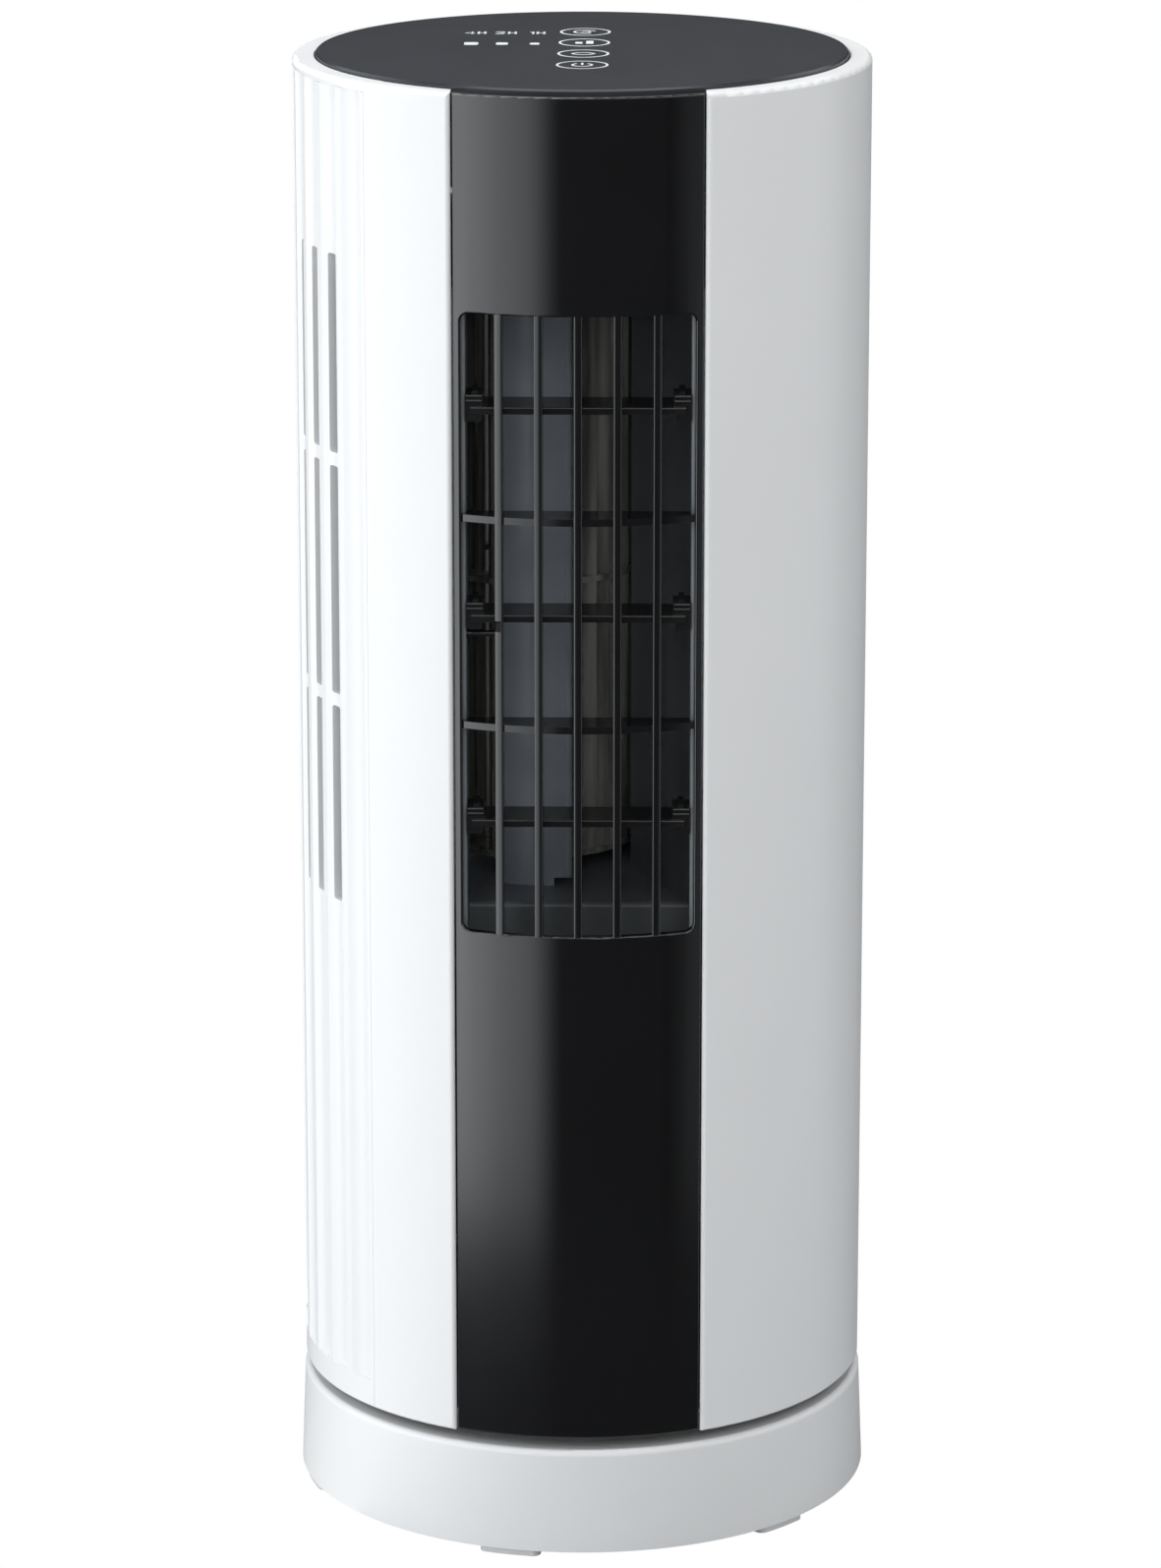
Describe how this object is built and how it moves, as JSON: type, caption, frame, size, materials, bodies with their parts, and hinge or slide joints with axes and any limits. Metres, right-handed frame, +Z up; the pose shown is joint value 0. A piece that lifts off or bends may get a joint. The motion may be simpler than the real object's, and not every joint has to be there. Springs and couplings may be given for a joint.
{
  "type": "tower fan",
  "caption": "Compact cylindrical tower fan on a swinging base, with a barred front outlet, fluted rear intake, touch panel and cross-flow blower.",
  "frame": {"origin": "on the floor under the centre of the round base", "axes": "+Z up along the swing axis, -Y towards the air outlet, +X to the right as seen from the front"},
  "size_m": [0.1528, 0.1528, 0.3869],
  "materials": {
    "shell_white": "smooth white satin-gloss moulding",
    "cover_white": "smooth white satin-gloss moulding, fluted",
    "base_white": "smooth white satin-gloss moulding",
    "plate_white": "fine-grained white moulding",
    "strip_black": "piano-black gloss",
    "panel_slate": "dark slate satin touch panel with white printing",
    "grille_black": "black moulding",
    "duct_dark": "dark grey-green duct moulding",
    "divider_grey": "blue-grey moulding",
    "wheel_grey": "dark grey glass-filled moulding",
    "hub_brass": "turned brass",
    "bush_bronze": "sintered bronze",
    "screw_steel": "zinc-plated steel",
    "shaft_steel": "ground steel",
    "retainer_steel": "stamped zinc-plated steel",
    "motor_zinc": "zinc-plated drawn can",
    "laminations": "stacked steel laminations",
    "magnet_dark": "sintered ferrite magnet",
    "mount_black": "black moulding",
    "seal_rubber": "soft black rubber",
    "foot_rubber": "pale grey soft rubber",
    "gear_acetal": "natural acetal",
    "board_green": "solder-masked glass-fibre board",
    "part_dark": "electronic parts in dark resin",
    "loom_grey": "grey sleeved wires",
    "spring_tin": "tinned touch springs",
    "print_white": "white screen printing on the touch panel",
    "guide_clear": "milky light guides"
  },
  "bodies": {
    "base": {"base_shell": "base_white", "base_plate": "plate_white", "base_screws": "screw_steel", "rubber_feet": "foot_rubber", "cord_gland": "seal_rubber", "swing_gear": "gear_acetal", "gear_screws": "screw_steel", "slide_ring": "gear_acetal", "retaining_ring": "retainer_steel", "retaining_screws": "screw_steel"},
    "blower": {"blower_wheel": "wheel_grey", "wheel_hub": "hub_brass", "wheel_set_screw": "screw_steel", "wheel_top_pin": "shaft_steel", "motor_shaft": "shaft_steel", "motor_rotor": "magnet_dark"},
    "swing_drive": {"swing_shaft": "shaft_steel", "swing_pinion": "gear_acetal"},
    "tower": {"board_screws": "screw_steel", "control_board": "board_green", "cover_screws": "screw_steel", "cross_struts": "grille_black", "duct_floor": "duct_dark", "duct_top_plate": "duct_dark", "floor_screws": "screw_steel", "flow_divider": "divider_grey", "front_panel": "strip_black", "left_duct_wall": "duct_dark", "link_rod": "grille_black", "loom_plug": "part_dark", "main_shell": "shell_white", "motor_bearings": "bush_bronze", "motor_housing": "motor_zinc", "motor_mount": "mount_black", "motor_screws": "screw_steel", "motor_stator": "laminations", "power_board": "board_green", "power_board_parts": "part_dark", "rear_intake_cover": "cover_white", "scroll_wall": "duct_dark", "strut_clips": "grille_black", "swing_motor": "motor_zinc", "swing_motor_screws": "screw_steel", "timer_light_guides": "guide_clear", "top_bearing": "bush_bronze", "top_bearing_seat": "seal_rubber", "top_frame": "mount_black", "touch_panel": "panel_slate", "touch_springs": "spring_tin", "tower_floor": "mount_black", "wire_loom": "loom_grey"}
  },
  "joints": [
    {"name": "swing", "type": "hinge", "parent": "base", "child": "tower", "pos_m": [0, 0, 0.0389], "axis": [0, 0, 1], "range_deg": [-19, 51]},
    {"name": "blower_spin", "type": "hinge", "parent": "tower", "child": "blower", "pos_m": [-0.0128, 0.005, 0.2519], "axis": [0, 0, 1], "continuous": true},
    {"name": "pinion_spin", "type": "hinge", "parent": "tower", "child": "swing_drive", "pos_m": [0, 0.0375, 0.0329], "axis": [0, 0, 1], "range_deg": [-80, 210]}
  ],
  "couplings": [
    {"joint": "pinion_spin", "follows": "swing", "ratio": 4}
  ]
}
